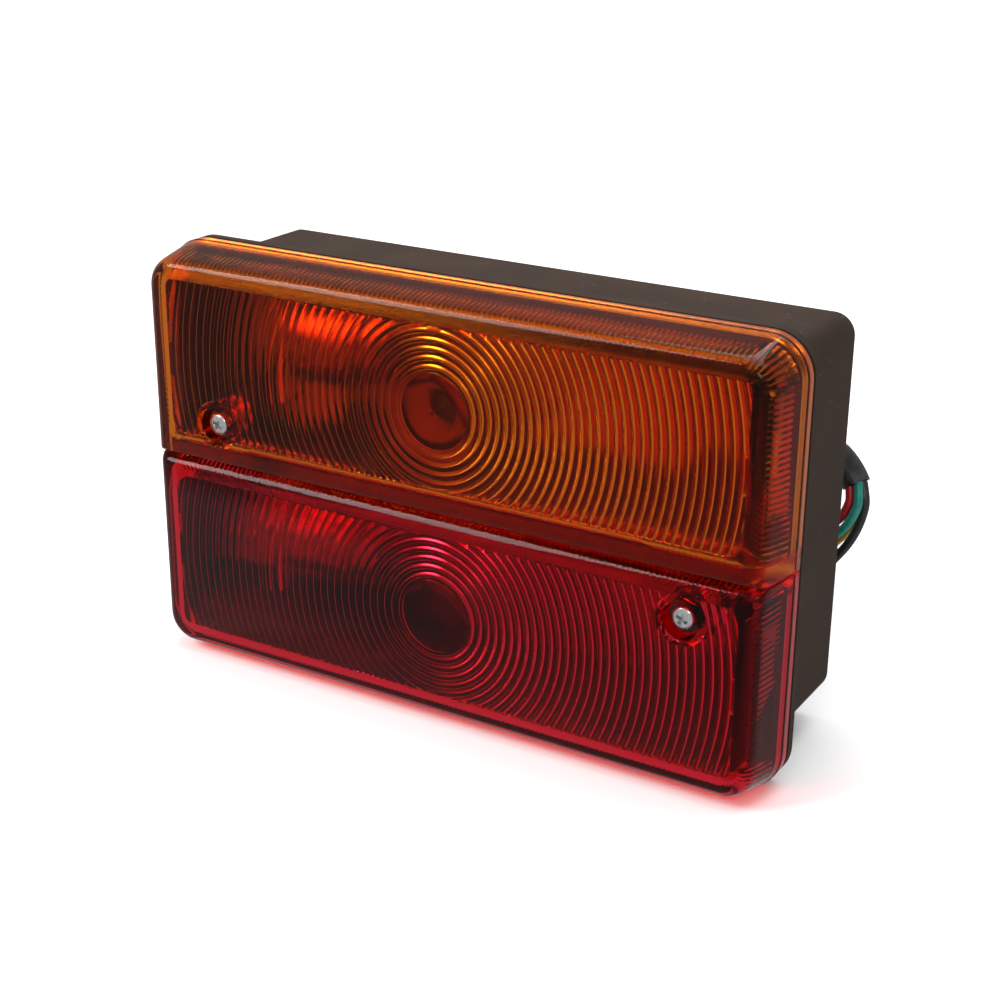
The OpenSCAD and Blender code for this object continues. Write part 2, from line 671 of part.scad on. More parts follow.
// Ring terminals under the right-hand screws of the two reflectors. The upper one takes two wires.
module ground_terminals() {
    color("#d8d4c8") for (s = [-1, 1]) difference() {
        union() {
            rod_y(post_x[1], s * post_z, plate_y - plate_t - tag_t, plate_y - plate_t, 6.4);
            translate([post_x[1] + 2.5, plate_y - plate_t - tag_t, s * post_z - 1.6])
                cube([3, tag_t, 3.2]);
            translate([post_x[1] + 5, plate_y - plate_t - 2.9, s * post_z - (s > 0 ? 4 : 1.6)])
                cube([5, 2.7, s > 0 ? 5.6 : 3.2]);
        }
        rod_y(post_x[1], s * post_z, plate_y - 3, plate_y + 1, pilot_d + fit_gap);
    }
}

// ---------------------------------------------------------------- nodes

housing();
mounting_studs();
lens_gasket();
amber_lens();
red_lens();
amber_screw_washer();
red_screw_washer();
amber_lens_screw();
red_lens_screw();
amber_reflector();
red_reflector();
reflector_screws();
amber_socket();
red_socket();
amber_contact_disc();
red_contact_disc();
amber_contact();
red_contacts();
amber_socket_spring();
red_socket_spring();
amber_bulb_cap();
red_bulb_cap();
amber_bulb_insulator();
red_bulb_insulator();
amber_bulb_tip();
red_bulb_tips();
amber_bulb_glass();
red_bulb_glass();
amber_bulb_stem();
red_bulb_stem();
amber_filament();
stop_filament();
tail_filament();
ground_terminals();
cable_grommet();
cable_sleeve();
ground_lead();
ground_jumper();
indicator_lead();
tail_lead();
stop_lead();
black_wire();
green_wire();
yellow_wire();
red_wire();
stripped_ends();
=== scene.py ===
"""Trailer tail light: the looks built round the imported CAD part."""

import json
import math

import bmesh
import bpy
from mathutils import Matrix, Vector


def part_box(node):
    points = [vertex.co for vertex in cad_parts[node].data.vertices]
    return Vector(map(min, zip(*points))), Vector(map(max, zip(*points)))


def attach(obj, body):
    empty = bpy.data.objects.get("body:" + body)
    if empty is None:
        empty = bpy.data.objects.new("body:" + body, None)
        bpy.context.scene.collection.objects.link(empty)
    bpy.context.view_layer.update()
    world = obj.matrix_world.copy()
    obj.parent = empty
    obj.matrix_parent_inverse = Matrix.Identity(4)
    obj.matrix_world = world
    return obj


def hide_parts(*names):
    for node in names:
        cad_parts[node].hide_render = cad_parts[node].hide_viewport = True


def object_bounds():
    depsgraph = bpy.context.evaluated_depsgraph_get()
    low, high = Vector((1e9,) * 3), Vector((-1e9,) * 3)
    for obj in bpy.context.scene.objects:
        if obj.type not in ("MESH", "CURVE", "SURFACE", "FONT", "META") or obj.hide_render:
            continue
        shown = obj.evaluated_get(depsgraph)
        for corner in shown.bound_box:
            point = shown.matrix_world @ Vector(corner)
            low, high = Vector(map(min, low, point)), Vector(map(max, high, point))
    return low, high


MM = 0.001

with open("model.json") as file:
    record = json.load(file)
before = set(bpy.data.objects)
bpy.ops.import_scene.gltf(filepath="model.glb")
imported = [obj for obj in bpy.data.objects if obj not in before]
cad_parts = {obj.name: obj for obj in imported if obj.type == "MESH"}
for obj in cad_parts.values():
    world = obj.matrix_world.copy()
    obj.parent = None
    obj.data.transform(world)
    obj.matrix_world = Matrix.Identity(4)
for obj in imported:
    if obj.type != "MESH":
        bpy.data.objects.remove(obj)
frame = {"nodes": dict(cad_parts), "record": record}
size_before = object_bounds()
low_corner, high_corner = (Vector(corner) for corner in size_before)


# ---------------------------------------------------------------- camera

# In metres, in front of the lamp, to its right and above it
CAMERA_PLACE = Vector((0.20701, -0.36973, 0.15345))
CAMERA_TARGET = Vector((0.00910, -0.03800, 0.00137))
CAMERA_ROLL = 0.5
FOCAL_LENGTH = 65.32
SENSOR_WIDTH = 36


def add_camera():
    """The camera, turned a little about its line of sight."""
    data = bpy.data.cameras.new("camera")
    data.lens = FOCAL_LENGTH
    data.sensor_width = SENSOR_WIDTH
    data.clip_start = 0.01
    camera = bpy.data.objects.new("camera", data)
    roll = Matrix.Rotation(math.radians(CAMERA_ROLL), 4, "Z")
    look = (CAMERA_TARGET - CAMERA_PLACE).to_track_quat("-Z", "Y").to_matrix().to_4x4()
    camera.matrix_world = Matrix.Translation(CAMERA_PLACE) @ look @ roll
    bpy.context.collection.objects.link(camera)
    bpy.context.scene.camera = camera


add_camera()


# ---------------------------------------------------------------- shaders

class Shader:
    """A material with a Principled shader and short ways to add nodes in front of it."""

    def __init__(self, name, colour, roughness, **constants):
        self.material = bpy.data.materials.new(name)
        self.material.use_nodes = True
        self.tree = self.material.node_tree
        self.surface = self.tree.nodes["Principled BSDF"]
        self.output = self.tree.nodes["Material Output"]
        self.surface.inputs["Base Color"].default_value = (*colour, 1)
        self.surface.inputs["Roughness"].default_value = roughness
        for key, value in constants.items():
            self.surface.inputs[key.replace("_", " ")].default_value = value
        self.place = self.node("ShaderNodeTexCoord").outputs["Object"]

    def node(self, kind, **settings):
        made = self.tree.nodes.new(kind)
        for key, value in settings.items():
            setattr(made, key, value)
        return made

    def link(self, source, target):
        self.tree.links.new(source, target)

    def noise(self, scale, detail=4, stretch=(1, 1, 1)):
        """Noise with about scale features to the metre."""
        mapping = self.node("ShaderNodeMapping")
        mapping.inputs["Scale"].default_value = stretch
        self.link(self.place, mapping.inputs["Vector"])
        noise = self.node("ShaderNodeTexNoise")
        noise.inputs["Scale"].default_value = scale
        noise.inputs["Detail"].default_value = detail
        self.link(mapping.outputs["Vector"], noise.inputs["Vector"])
        return noise.outputs["Fac"]

    def ramp(self, source, stops):
        """Numbers or colours picked by source: stops are two (position, value) pairs."""
        ramp = self.node("ShaderNodeValToRGB")
        for element, (position, value) in zip(ramp.color_ramp.elements, stops):
            element.position = position
            grey = (value, value, value) if isinstance(value, (int, float)) else value
            element.color = (*grey, 1)
        self.link(source, ramp.inputs["Fac"])
        return ramp.outputs["Color"]

    def mix(self, share, first, second):
        """The second colour over the first, by share. Each may be a socket or a value."""
        mix = self.node("ShaderNodeMix", data_type="RGBA")
        for value, socket in ((share, 0), (first, 6), (second, 7)):
            if isinstance(value, bpy.types.NodeSocket):
                self.link(value, mix.inputs[socket])
            else:
                mix.inputs[socket].default_value = value if socket == 0 else (*value, 1)
        return mix.outputs[2]

    def colour(self, source):
        self.link(source, self.surface.inputs["Base Color"])

    def roughness(self, source, low, high):
        """Roughness that source varies between low and high."""
        self.link(self.ramp(source, [(0.3, low), (0.7, high)]), self.surface.inputs["Roughness"])

    def bump(self, source, depth, strength=1.0, after=None):
        """Relief of about depth metres, on top of the relief in after."""
        bump = self.node("ShaderNodeBump")
        bump.inputs["Strength"].default_value = strength
        bump.inputs["Distance"].default_value = depth
        self.link(source, bump.inputs["Height"])
        if after is not None:
            self.link(after, bump.inputs["Normal"])
        self.link(bump.outputs["Normal"], self.surface.inputs["Normal"])
        return bump.outputs["Normal"]


def housing_plastic():
    """Black-brown moulded plastic with a fine grain, rubbed patches and a little dust."""
    shader = Shader("black_plastic", (0.05, 0.034, 0.026), 0.5, Specular_IOR_Level=0.02)
    wear = shader.noise(60, 6)
    grain = shader.noise(2600, 3)
    body = shader.ramp(wear, [(0.35, (0.035, 0.024, 0.0185)), (0.7, (0.048, 0.033, 0.0255))])
    dust = shader.ramp(shader.noise(1500, 1), [(0.76, 0.0), (0.79, 0.8)])
    shader.colour(shader.mix(dust, body, (0.2, 0.19, 0.18)))
    shader.roughness(wear, 0.42, 0.56)
    fine = shader.bump(grain, 0.00006, 0.7)
    shader.bump(shader.noise(240, 3), 0.0001, 0.25, fine)
    return shader.material


def rubber():
    """Black rubber with a dull bloom."""
    shader = Shader("black_rubber", (0.012, 0.012, 0.012), 0.5)
    bloom = shader.noise(400, 5)
    shader.colour(shader.ramp(bloom, [(0.3, (0.008, 0.008, 0.009)), (0.75, (0.03, 0.029, 0.028))]))
    shader.roughness(bloom, 0.32, 0.55)
    shader.bump(shader.noise(3000, 4), 0.00005, 0.5)
    return shader.material


def zinc(name="zinc_steel", tint=(0.78, 0.79, 0.8)):
    """Bright plated steel, brushed a little, with dull spots."""
    shader = Shader(name, tint, 0.25, Metallic=1.0)
    spots = shader.noise(1500, 5)
    brushed = shader.noise(900, 3, stretch=(1, 12, 1))
    dull = tuple(0.72 * channel for channel in tint)
    shader.colour(shader.ramp(spots, [(0.35, dull), (0.6, tint)]))
    shader.roughness(brushed, 0.16, 0.34)
    shader.bump(spots, 0.00003, 0.5)
    return shader.material


# Blender's wave texture repeats every 2 pi / WAVE_FACTOR at a scale of 1.
WAVE_FACTOR = 20


def threaded_zinc(pitch):
    """Plated steel with the grooves of a rolled thread, pitch mm apart along Y."""
    shader = Shader("zinc_thread", (0.78, 0.79, 0.8), 0.3, Metallic=0.9)
    wear = shader.noise(1500, 5)
    shader.colour(shader.ramp(wear, [(0.35, (0.56, 0.57, 0.58)), (0.6, (0.78, 0.79, 0.8))]))
    shader.roughness(wear, 0.25, 0.45)
    grooves = shader.node("ShaderNodeTexWave", bands_direction="Y")
    grooves.inputs["Scale"].default_value = 2 * math.pi / (WAVE_FACTOR * pitch * MM)
    shader.link(shader.place, grooves.inputs["Vector"])
    shader.bump(grooves.outputs["Fac"], 0.0004)
    return shader.material


def tinplate():
    """Rolled tin plate with faint rolling marks and finger-dull patches."""
    shader = Shader("tinplate", (0.8, 0.79, 0.76), 0.5, Metallic=0.35)
    rolled = shader.noise(700, 4, stretch=(0.05, 1, 1))
    patches = shader.noise(90, 5)
    shader.colour(shader.ramp(patches, [(0.3, (0.42, 0.41, 0.38)), (0.7, (0.56, 0.55, 0.52))]))
    shader.roughness(rolled, 0.4, 0.6)
    shader.bump(rolled, 0.00004, 0.4)
    return shader.material


def brass():
    """Brass with brown tarnish in patches."""
    shader = Shader("brass", (0.72, 0.55, 0.26), 0.28, Metallic=1.0)
    tarnish = shader.noise(420, 6)
    shader.colour(shader.ramp(tarnish, [(0.35, (0.2, 0.13, 0.07)), (0.6, (0.5, 0.37, 0.2))]))
    shader.roughness(tarnish, 0.22, 0.42)
    shader.bump(shader.noise(2200, 3), 0.00003, 0.4)
    return shader.material


def matte(name, dark, light, scale, low, high, **constants):
    """A plain material that varies between two colours and two roughnesses, with a fine relief."""
    shader = Shader(name, dark, low, **constants)
    pattern = shader.noise(scale, 5)
    shader.colour(shader.ramp(pattern, [(0.3, dark), (0.7, light)]))
    shader.roughness(pattern, low, high)
    shader.bump(shader.noise(scale * 4, 3), 0.00005, 0.5)
    return shader.material


def clear(name, tint, roughness, ior, lets_through, shine=1.0):
    """Glass or clear plastic. Lamps shine through it with the tint lets_through, and shine is
    how much of a plain surface's reflection it gives."""
    shader = Shader(name, tint, roughness, Transmission_Weight=1.0, IOR=ior)
    shader.surface.inputs["Specular Tint"].default_value = (shine, shine, shine, 1)
    haze = shader.noise(260, 4)
    shader.roughness(haze, roughness, roughness + 0.03)
    shader.bump(shader.noise(90, 2), 0.00003, 0.3)
    window = shader.node("ShaderNodeBsdfTransparent")
    window.inputs["Color"].default_value = (*lets_through, 1)
    choose = shader.node("ShaderNodeMixShader")
    shader.link(shader.node("ShaderNodeLightPath").outputs["Is Shadow Ray"], choose.inputs[0])
    shader.link(shader.surface.outputs[0], choose.inputs[1])
    shader.link(window.outputs[0], choose.inputs[2])
    shader.link(choose.outputs[0], shader.output.inputs["Surface"])
    return shader.material


def lens_plastic(name, tint, lets_through, roughness):
    """One face of a lens."""
    return clear(name, tint, roughness, ACRYLIC_IOR, lets_through, LENS_SHINE)


def insulation(name, dark, light):
    """The soft plastic skin of a wire."""
    return matte(name, dark, light, 500, 0.3, 0.42)


ACRYLIC_IOR = 1.49
GLASS_IOR = 1.5
LENS_SHINE = 0.2
POLISHED = 0.015
# The grooved inner faces of the lenses are left as moulded, so they blur what is behind them.
AS_MOULDED = 0.15
# Tint of one face of each lens as the eye sees it, and as the light that comes in meets it
AMBER, AMBER_LIGHT = (0.97, 0.22, 0.006), (0.95, 0.27, 0.012)
RED, RED_LIGHT = (0.96, 0.014, 0.04), (0.65, 0.012, 0.03)
MATERIALS = {
    "black_plastic": housing_plastic(),
    "black_rubber": rubber(),
    "zinc_steel": zinc(),
    "spring_steel": zinc("spring_steel", (0.6, 0.61, 0.63)),
    "tinplate": tinplate(),
    "brass": brass(),
    "amber_plastic": lens_plastic("amber_plastic", AMBER, AMBER_LIGHT, POLISHED),
    "red_plastic": lens_plastic("red_plastic", RED, RED_LIGHT, POLISHED),
    "clear_glass": clear("clear_glass", (1, 1, 1), 0.0, GLASS_IOR, (0.96, 0.96, 0.96)),
    "amber_glass": clear("amber_glass", (1, 0.62, 0.2), 0.0, GLASS_IOR, (0.95, 0.6, 0.2)),
    "brown_board": matte("brown_board", (0.11, 0.04, 0.017), (0.2, 0.085, 0.04), 900, 0.5, 0.7),
    "black_glass": matte("black_glass", (0.008, 0.008, 0.01), (0.02, 0.02, 0.022), 700, 0.1, 0.25),
    "solder": matte("solder", (0.4, 0.41, 0.42), (0.62, 0.63, 0.64), 1300, 0.3, 0.5, Metallic=1.0),
    "tungsten": matte("tungsten", (0.2, 0.2, 0.21), (0.4, 0.4, 0.41), 3000, 0.3, 0.5, Metallic=1.0),
    "copper": matte("copper", (0.6, 0.26, 0.12), (0.85, 0.45, 0.25), 2500, 0.2, 0.4, Metallic=1.0),
    "black_insulation": insulation("black_insulation", (0.01, 0.01, 0.011), (0.022, 0.022, 0.022)),
    "green_insulation": insulation("green_insulation", (0.004, 0.16, 0.12), (0.008, 0.23, 0.18)),
    "yellow_insulation": insulation("yellow_insulation", (0.45, 0.24, 0.01), (0.6, 0.34, 0.02)),
    "red_insulation": insulation("red_insulation", (0.3, 0.006, 0.012), (0.42, 0.012, 0.02)),
}
INSIDE_OF = {
    "amber_lens": lens_plastic("amber_plastic_inside", AMBER, AMBER_LIGHT, AS_MOULDED),
    "red_lens": lens_plastic("red_plastic_inside", RED, RED_LIGHT, AS_MOULDED),
}
SLOT_OF = {part["node"]: part["material_slot"] for part in frame["record"]["subparts"]}
BODY_OF = {
    node: body for body, nodes in frame["record"]["behaviour"]["bodies"].items() for node in nodes
}


def paint(thing, slot):
    """Gives the whole piece the material of that slot."""
    thing.data.materials.clear()
    thing.data.materials.append(MATERIALS[slot])


def stand_for(thing, node):
    """The piece is shown in place of a CAD node and moves with its body."""
    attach(thing, BODY_OF[node])
    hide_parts(node)


def dress(thing, node):
    """Paints a new piece that stands for a CAD node."""
    paint(thing, SLOT_OF[node])
    stand_for(thing, node)


# ---------------------------------------------------------------- the four wires

# In mm, the routes that the CAD model's tubes follow
LANE_STARTS = {
    "black_wire": (76.3, 15.6, 2.1),
    "green_wire": (75.8, 13.3, 2.8),
    "yellow_wire": (74.4, 15.6, 0.7),
    "red_wire": (73.9, 13.3, 1.4),
}
WIRE_ROUTES = {
    "black_wire": [
        (77.6, 14.2, -1.4), (77.7, 13.8, -4), (76.8, 13.7, -8), (75.2, 13.8, -12),
        (72.8, 14, -16), (69, 14.4, -21), (63.6, 15, -27), (57, 15.6, -33), (49, 16.4, -39),
        (40, 17.4, -44.4), (30, 18.6, -48.4), (19, 20, -50.6), (7, 21.4, -50.9),
        (-6, 23, -50.9), (-19, 24.6, -50.9), (-32, 26.4, -50.9), (-44, 29, -50.9),
        (-54, 33, -50.9), (-61.4, 39.6, -50.9), (-63.6, 48, -50.9), (-61, 56.4, -50.9),
        (-54, 62, -50.9),
    ],
    "green_wire": [
        (76.8, 11.7, -0.4), (76.8, 11.2, -2.8), (75.6, 11.1, -6), (73.4, 11.8, -9.4),
        (70.2, 13, -12.4), (65.4, 15.2, -16.2), (60, 18, -20.6), (53.6, 20.8, -26),
        (46.2, 23.4, -32), (38, 25.6, -38), (29, 27.4, -43.6), (19.4, 29, -48),
        (9, 30.4, -50.6), (-3, 32, -50.9), (-16, 33.6, -50.9), (-28, 35.4, -50.9),
        (-38.6, 38, -50.9), (-46.4, 42.6, -50.9), (-48.6, 49, -50.9), (-45, 54.8, -50.9),
        (-37.4, 57.6, -50.9), (-27, 58, -50.9),
    ],
    "yellow_wire": [
        (75.2, 15, -2.4), (75.4, 15.2, -5), (74.6, 15.6, -8.4), (72.8, 16.2, -11.8),
        (70, 16.8, -15.2), (65.4, 17.6, -20), (59.4, 18.6, -26), (52.4, 19.6, -32),
        (44.4, 20.8, -38), (35.4, 22.2, -43.6), (25.6, 23.6, -48), (15, 25, -50.6),
        (3, 26.4, -50.9), (-10, 28, -50.9), (-23, 29.6, -50.9), (-35, 31.6, -50.9),
        (-46.4, 34.8, -50.9), (-54.6, 40.4, -50.9), (-57.4, 48, -50.9), (-54.4, 55.6, -50.9),
        (-46.6, 60.6, -50.9),
    ],
    "red_wire": [
        (74.5, 12.5, -1.4), (74.2, 12.3, -3.2), (73, 12.6, -6), (70.8, 13.8, -8.6),
        (67.4, 15.8, -11.2), (62.6, 18.6, -14.8), (57, 21.6, -19.4), (50.6, 24.6, -25),
        (43.4, 27.4, -31), (35.4, 29.8, -37), (26.8, 31.8, -42.8), (17.4, 33.6, -47.4),
        (7, 35, -50.4), (-4, 36.6, -50.9), (-16, 38.2, -50.9), (-27, 40.2, -50.9),
        (-35, 43.6, -50.9), (-38, 48.6, -50.9), (-35.4, 53.2, -50.9), (-28, 55, -50.9),
        (-17, 54.2, -50.9), (-5, 52.6, -50.9),
    ],
}
WIRE_D = 2.2


def smooth_line(points, steps=6):
    """A smooth line through the points (Catmull-Rom), in metres, no lower than the lowest."""
    points = [Vector(p) * MM for p in points]
    ends = [2 * points[0] - points[1], *points, 2 * points[-1] - points[-2]]
    line = []
    for i in range(1, len(ends) - 2):
        a, b, c, d = ends[i - 1:i + 3]
        for k in range(steps):
            t = k / steps
            line.append(0.5 * (2 * b + (c - a) * t + (2 * a - 5 * b + 4 * c - d) * t * t
                               + (3 * b - a - 3 * c + d) * t * t * t))
    line.append(points[-1])
    lowest = min(point.z for point in points)
    for point in line:
        point.z = max(point.z, lowest)
    return line


def curve_tube(name, line, radius):
    """A round tube along the line, as a curve."""
    data = bpy.data.curves.new(name, "CURVE")
    data.dimensions = "3D"
    data.bevel_depth = radius
    data.bevel_resolution = 6
    data.use_fill_caps = True
    spline = data.splines.new("POLY")
    spline.points.add(len(line) - 1)
    for point, place in zip(spline.points, line):
        point.co = (*place, 1)
    spline.use_smooth = True
    tube = bpy.data.objects.new(name, data)
    bpy.context.collection.objects.link(tube)
    return tube


def add_wires():
    """The four wires of the lead, from the mouth of the sleeve to their stripped ends."""
    for node, route in WIRE_ROUTES.items():
        line = smooth_line([LANE_STARTS[node], *route])
        wire = curve_tube(node + "_cord", line, WIRE_D / 2 * MM)
        dress(wire, node)


add_wires()


# ---------------------------------------------------------------- mesh helpers

def add_mesh(name, vertices, faces, sharp_angle=40):
    """A mesh piece from vertices in metres, smooth but for edges sharper than sharp_angle."""
    mesh = bpy.data.meshes.new(name)
    shape = bmesh.new()
    made = [shape.verts.new(v) for v in vertices]
    for face in faces:
        corners = []
        for index in face:
            if index not in corners:
                corners.append(index)
        if len(corners) > 2:
            shape.faces.new([made[i] for i in corners])
    loose = [v for v in shape.verts if not v.link_faces]
    bmesh.ops.delete(shape, geom=loose, context="VERTS")
    bmesh.ops.recalc_face_normals(shape, faces=shape.faces)
    shape.to_mesh(mesh)
    shape.free()
    mesh.polygons.foreach_set("use_smooth", [True] * len(mesh.polygons))
    mesh.set_sharp_from_angle(angle=math.radians(sharp_angle))
    thing = bpy.data.objects.new(name, mesh)
    bpy.context.collection.objects.link(thing)
    return thing


def bridge(first, second):
    """Quads between two closed loops of vertex numbers."""
    count = len(first)
    return [(first[i], first[(i + 1) % count], second[(i + 1) % count], second[i])
            for i in range(count)]


def lathe(name, profile, axis_at, sides=64):
    """A solid of revolution about a line along Y: profile is (y, radius) pairs in mm."""
    turn = Vector((0, 0, 1)).rotation_difference(Vector((0, 1, 0))).to_matrix()
    vertices = []
    faces = []
    loops = []
    for along, radius in profile:
        loop = []
        for k in range(sides):
            angle = 2 * math.pi * k / sides
            point = Vector((radius * math.cos(angle), radius * math.sin(angle), along))
            loop.append(len(vertices))
            vertices.append(axis_at + turn @ point * MM)
        loops.append(loop)
    for first, second in zip(loops, loops[1:]):
        faces += bridge(first, second)
    faces += [tuple(loops[0]), tuple(reversed(loops[-1]))]
    return add_mesh(name, vertices, faces)


def combine(thing, tool, operation):
    """Joins tool to thing, or cuts it away, and removes the tool."""
    modifier = thing.modifiers.new("combine", "BOOLEAN")
    modifier.operation = operation
    modifier.solver = "EXACT"
    modifier.object = tool
    bpy.context.view_layer.update()
    graph = bpy.context.evaluated_depsgraph_get()
    result = bpy.data.meshes.new_from_object(thing.evaluated_get(graph))
    thing.modifiers.remove(modifier)
    thing.data = result
    bpy.data.objects.remove(tool)


# ---------------------------------------------------------------- lenses

# All in mm
TOP_RIB_PITCH = 1.45
SIDE_RIB_PITCH = 1.9
RIB_HEIGHT = 0.36
RING_PITCH = 2.05
RING_HEIGHT = 0.55
PLAIN_DISC_R = 8.7
RING_GAP = 0.05
DIMPLE_HEIGHT = 0.5
# The disc inside the rings: radius, how much thicker the lens is there.
DISC_PROFILE = [(0.35, 0.42), (0.7, 0.3), (4.7, 0.3), (4.95, 0.2), (PLAIN_DISC_R, 0.12)]
# One ring from its inner to its outer edge: shares of the pitch and of the height.
RING_PROFILE = [(0, 1), (0.42, 0.6), (0.48, 0.8), (0.81, 0.35), (0.9, 0)]
LENS_CORNER_R = 9.5
LEAST_CORNER_R = 1.5
JOINT_CORNER_R = 0.4
# How much the corners at the joint grow for each mm in from it
JOINT_CORNER_SPREAD = 0.7
CORNER_STEPS = 15
JOINT_CORNER_STEPS = 5
LENS_DEPTH = 15.3
# Outer skin from the rim to the front: depth, how far in from the outline, how far from the joint.
# The joint edge is nearly square on the amber lens and well rounded on the red one.
OUTER_STEPS = {
    "amber": [(0, 0.25, 0), (0.25, 0, 0), (2.4, 0, 0), (2.6, 0.2, 0), (3.0, 0.3, 0), (12.3, 2.1, 0),
              (13.5, 2.55, 0.05), (14.4, 3.25, 0.2), (15.0, 4.1, 0.5), (LENS_DEPTH, 5.1, 1.2)],
    "red": [(0, 0.25, 0), (0.25, 0, 0), (2.4, 0, 0), (2.6, 0.2, 0), (3.0, 0.3, 0), (11.0, 2.0, 0.1),
            (12.6, 2.3, 0.5), (13.8, 2.8, 1.2), (14.8, 3.8, 2.5), (LENS_DEPTH, 5.1, 4.4)],
}
# Inner skin from the front back to the rim: depth, in from the outline, from the joint, ribbed or not.
INNER_STEPS = [
    (13.0, 7.4, 5.4, False), (12.5, 6.2, 4.2, False), (11.4, 4.9, 3.1, True), (3.2, 3.1, 2.7, True),
    (2.6, 2.7, 2.5, False), (0, 2.5, 2.4, False),
]
INNER_FRONT = INNER_STEPS[0][0]
LENS_SHARP = 35


def lens_outline(half_width, height, inset, joint_inset):
    """Closed outline of one lens in (x, distance from the joint): two points to each rib."""
    radius = max(LENS_CORNER_R - inset, LEAST_CORNER_R)
    joint_radius = JOINT_CORNER_R + JOINT_CORNER_SPREAD * joint_inset
    left, right = inset - half_width, half_width - inset
    near, far = joint_inset, height - inset
    corners = [
        (left + joint_radius, near + joint_radius, joint_radius, 270, 180, JOINT_CORNER_STEPS),
        (left + radius, far - radius, radius, 180, 90, CORNER_STEPS),
        (right - radius, far - radius, radius, 90, 0, CORNER_STEPS),
        (right - joint_radius, near + joint_radius, joint_radius, 0, -90, JOINT_CORNER_STEPS),
    ]
    arcs = []
    for x, v, size, start, end, count in corners:
        angles = [math.radians(start + (end - start) * k / count) for k in range(count + 1)]
        arcs.append([(x + size * math.cos(a), v + size * math.sin(a)) for a in angles])
    side_points = 2 * round(height / SIDE_RIB_PITCH) - 1
    long_points = 2 * round(2 * half_width / TOP_RIB_PITCH) - 1
    outline = []
    for index, count in enumerate((side_points, long_points, side_points, long_points)):
        outline += arcs[index]
        last, following = arcs[index][-1], arcs[(index + 1) % 4][0]
        for k in range(1, count):
            t = k / count
            outline.append((last[0] + (following[0] - last[0]) * t,
                            last[1] + (following[1] - last[1]) * t))
    return outline


def ribbed(outline):
    """The outline with every second point moved in to the crest of a rib."""
    moved = []
    count = len(outline)
    for i, (x, v) in enumerate(outline):
        ahead, behind = outline[(i + 1) % count], outline[i - 1]
        dx, dv = ahead[0] - behind[0], ahead[1] - behind[1]
        size = math.hypot(dx, dv) or 1
        amount = RIB_HEIGHT * (i % 2)
        moved.append((x + dv / size * amount, v - dx / size * amount))
    return moved


def ring_corners(largest):
    """(radius, how much thicker the lens is there) of each corner of the disc and the rings."""
    rings = list(DISC_PROFILE)
    radius = PLAIN_DISC_R + RING_GAP
    while radius < largest:
        for across, height in RING_PROFILE:
            rings.append((radius + across * RING_PITCH, height * RING_HEIGHT))
        radius += RING_PITCH
    return rings


class Moulding:
    """The vertices and faces of one lens, which grows up or down (+1 or -1) from the joint."""

    def __init__(self, colour, up):
        low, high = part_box(colour + "_lens")
        self.half_width = (high.x - low.x) / 2 / MM
        self.height = (high.z - low.z) / MM
        self.joint_z = low.z if up > 0 else high.z
        self.middle_x = (high.x + low.x) / 2
        self.rim_y, self.front_y = high.y, low.y
        self.depth_scale = (self.rim_y - self.front_y) / (LENS_DEPTH * MM)
        self.colour = colour
        self.up = up
        self.vertices = []
        self.faces = []

    def place(self, x, v, depth):
        """x across, v from the joint and depth from the rim, in mm, as a place in metres."""
        return Vector((self.middle_x + x * MM, self.rim_y - depth * self.depth_scale * MM,
                       self.joint_z + self.up * v * MM))

    def add_loop(self, outline, depth):
        loop = list(range(len(self.vertices), len(self.vertices) + len(outline)))
        self.vertices.extend(self.place(x, v, depth) for x, v in outline)
        return loop

    def join(self, loops):
        for first, second in zip(loops, loops[1:]):
            self.faces += bridge(first, second)

    def outer_skin(self):
        """Returns the loop at the rim."""
        loops = []
        for depth, inset, joint_inset in OUTER_STEPS[self.colour]:
            outline = lens_outline(self.half_width, self.height, inset, joint_inset)
            loops.append(self.add_loop(outline, depth))
        self.join(loops)
        self.faces.append(tuple(loops[-1]))
        return loops[0]

    def inner_walls(self, rim_loop):
        """Returns the loop round the inside of the front, and its outline."""
        loops = []
        for depth, inset, joint_inset, has_ribs in INNER_STEPS:
            outline = lens_outline(self.half_width, self.height, inset, joint_inset)
            loops.append(self.add_loop(ribbed(outline) if has_ribs else outline, depth))
        self.join([*loops, rim_loop])
        return loops[0], lens_outline(self.half_width, self.height, *INNER_STEPS[0][1:3])

    def ring_grooves(self, edge_loop, edge):
        """Rings that spread from the point in front of the bulb to the edge of the front."""
        bulb_low, bulb_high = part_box(self.colour + "_bulb_glass")
        centre = self.up * ((bulb_low.z + bulb_high.z) / 2 - self.joint_z) / MM
        reach = [math.hypot(x, v - centre) for x, v in edge]
        loops = []
        for radius, thicker in ring_corners(max(reach)):
            loop = list(edge_loop)
            for index, (x, v) in enumerate(edge):
                if radius < reach[index]:
                    share = radius / reach[index]
                    loop[index] = len(self.vertices)
                    self.vertices.append(self.place(x * share, centre + (v - centre) * share,
                                                    INNER_FRONT - thicker))
            loops.append(loop)
            if len(loops) == 1:
                middle = len(self.vertices)
                self.vertices.append(self.place(0, centre, INNER_FRONT - DIMPLE_HEIGHT))
                self.faces += [(first, second, middle)
                               for first, second in zip(loop, loop[1:] + loop[:1])]
        self.join([*loops, edge_loop])


